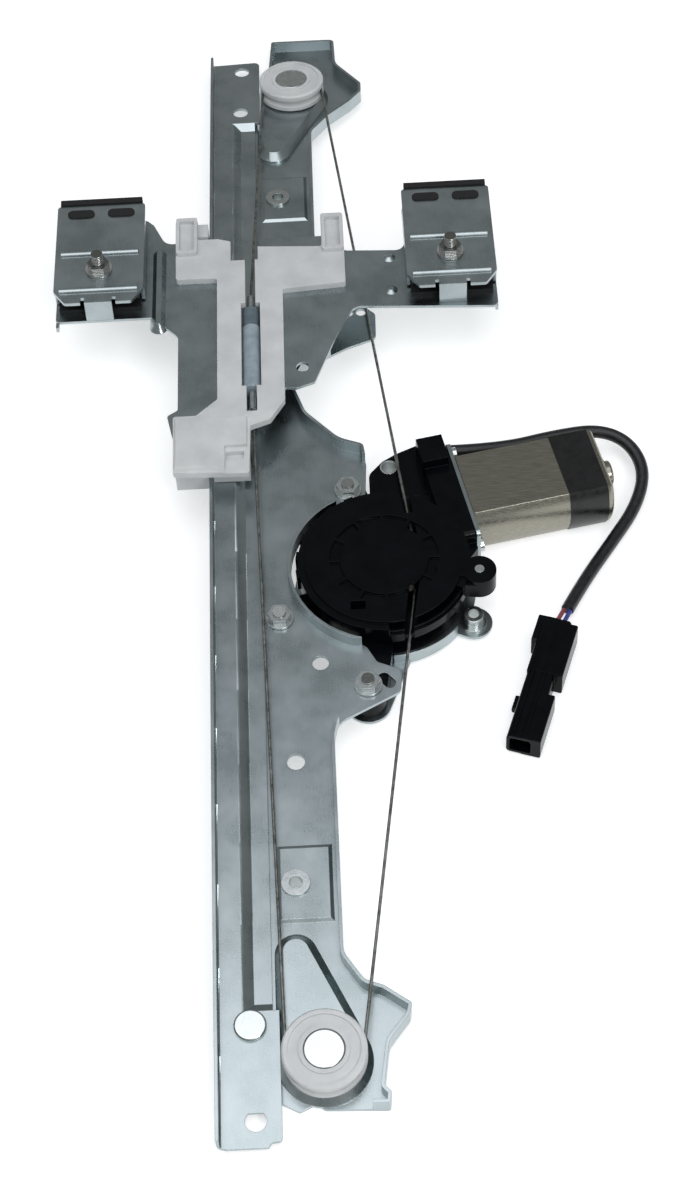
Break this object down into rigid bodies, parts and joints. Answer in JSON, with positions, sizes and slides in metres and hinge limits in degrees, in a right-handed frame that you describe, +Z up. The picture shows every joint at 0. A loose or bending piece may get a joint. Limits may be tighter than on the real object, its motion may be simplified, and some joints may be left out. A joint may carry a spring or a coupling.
{
  "type": "car window regulator",
  "caption": "Cable window regulator for a car door: curved steel rail, lifting sash with glass clamps, pulleys, cable drum and geared electric motor with a plug.",
  "frame": {"origin": "middle of the footprint on the bench it lies on, without the loom", "axes": "+X across the rail towards the motor, +Y along the rail towards its upper end, +Z up from the bench, out of the rail's face"},
  "size_m": [0.2948, 0.6952, 0.0578],
  "materials": {
    "band": "black shrink band",
    "black_plastic": "black glass-filled nylon moulding",
    "brass": "tinned brass",
    "bright_steel": "bright zinc fasteners",
    "cable": "stranded steel cable",
    "can": "drawn steel motor can",
    "copper": "copper and iron",
    "gear": "acetal gear",
    "magnet": "ferrite",
    "nylon": "natural white nylon",
    "rubber": "black rubber",
    "tube": "grey-blue tensioner tube",
    "wire_blue": "blue wire insulation",
    "wire_red": "red wire insulation",
    "zinc_steel": "zinc-plated pressed steel, light blue-green grey"
  },
  "bodies": {
    "rail": {"carrier_plate": "zinc_steel", "connector": "black_plastic", "connector_terminals": "brass", "drum_cover": "black_plastic", "end_cap": "can", "flange_nuts": "bright_steel", "gear_housing": "black_plastic", "guide_rail": "zinc_steel", "housing_ring": "bright_steel", "loom_sleeve": "black_plastic", "loom_wire_blue": "wire_blue", "loom_wire_red": "wire_red", "lower_lift_cable": "cable", "lower_pulley_rivet": "bright_steel", "lower_return_cable": "cable", "lug_bushing": "bright_steel", "lug_pin": "bright_steel", "magnets": "magnet", "motor_band": "band", "motor_bolts": "bright_steel", "motor_bracket": "zinc_steel", "motor_can": "can", "motor_plate": "zinc_steel", "motor_screws": "bright_steel", "rail_rivet": "bright_steel", "rivet_nuts": "bright_steel", "spindle": "bright_steel", "upper_lift_cable": "cable", "upper_pulley_rivet": "bright_steel", "upper_return_cable": "cable"},
    "sash": {"sash_plate": "zinc_steel", "left_rear_pad": "rubber", "right_rear_pad": "rubber", "left_front_pad": "rubber", "right_front_pad": "rubber", "left_clamp_jaw": "zinc_steel", "right_clamp_jaw": "zinc_steel", "left_clamp_bolt": "bright_steel", "right_clamp_bolt": "bright_steel", "clamp_nuts": "bright_steel", "slider": "nylon", "tensioner_barrel": "tube", "tensioner_cap": "tube", "cable_ends": "bright_steel"},
    "upper_pulley": {"upper_pulley": "nylon"},
    "lower_pulley": {"lower_pulley": "nylon"},
    "drum": {"cable_drum": "gear", "drum_cable": "cable", "worm_wheel": "gear"},
    "armature": {"armature": "copper"}
  },
  "joints": [
    {"name": "sash_lift", "type": "hinge", "parent": "rail", "child": "sash", "pos_m": [-0.01358, 0.00791, -2.97467], "axis": [-1, 0, 0], "range_deg": [-5.14, 1.81], "deforming": ["upper_lift_cable", "lower_lift_cable"]},
    {"name": "upper_pulley_spin", "type": "hinge", "parent": "rail", "child": "upper_pulley", "pos_m": [-0.01358, 0.29651, 0.01142], "axis": [0, 0.0962, 0.9954], "range_deg": [-342, 960.9]},
    {"name": "lower_pulley_spin", "type": "hinge", "parent": "rail", "child": "lower_pulley", "pos_m": [-0.01358, -0.31029, 0.00841], "axis": [0, -0.1061, 0.9944], "range_deg": [-342, 960.9]},
    {"name": "drum_spin", "type": "hinge", "parent": "rail", "child": "drum", "pos_m": [0.02292, -0.06109, 0.02454], "axis": [0, -0.023, 0.9997], "range_deg": [-357.2, 1004.1]},
    {"name": "motor_spin", "type": "hinge", "parent": "rail", "child": "armature", "pos_m": [0.01586, -0.02477, 0.01334], "axis": [0.9816, 0.1908, 0], "continuous": true}
  ],
  "couplings": [
    {"joint": "upper_pulley_spin", "follows": "sash_lift", "ratio": -185.71},
    {"joint": "lower_pulley_spin", "follows": "sash_lift", "ratio": -185.71},
    {"joint": "drum_spin", "follows": "sash_lift", "ratio": -194.1}
  ]
}
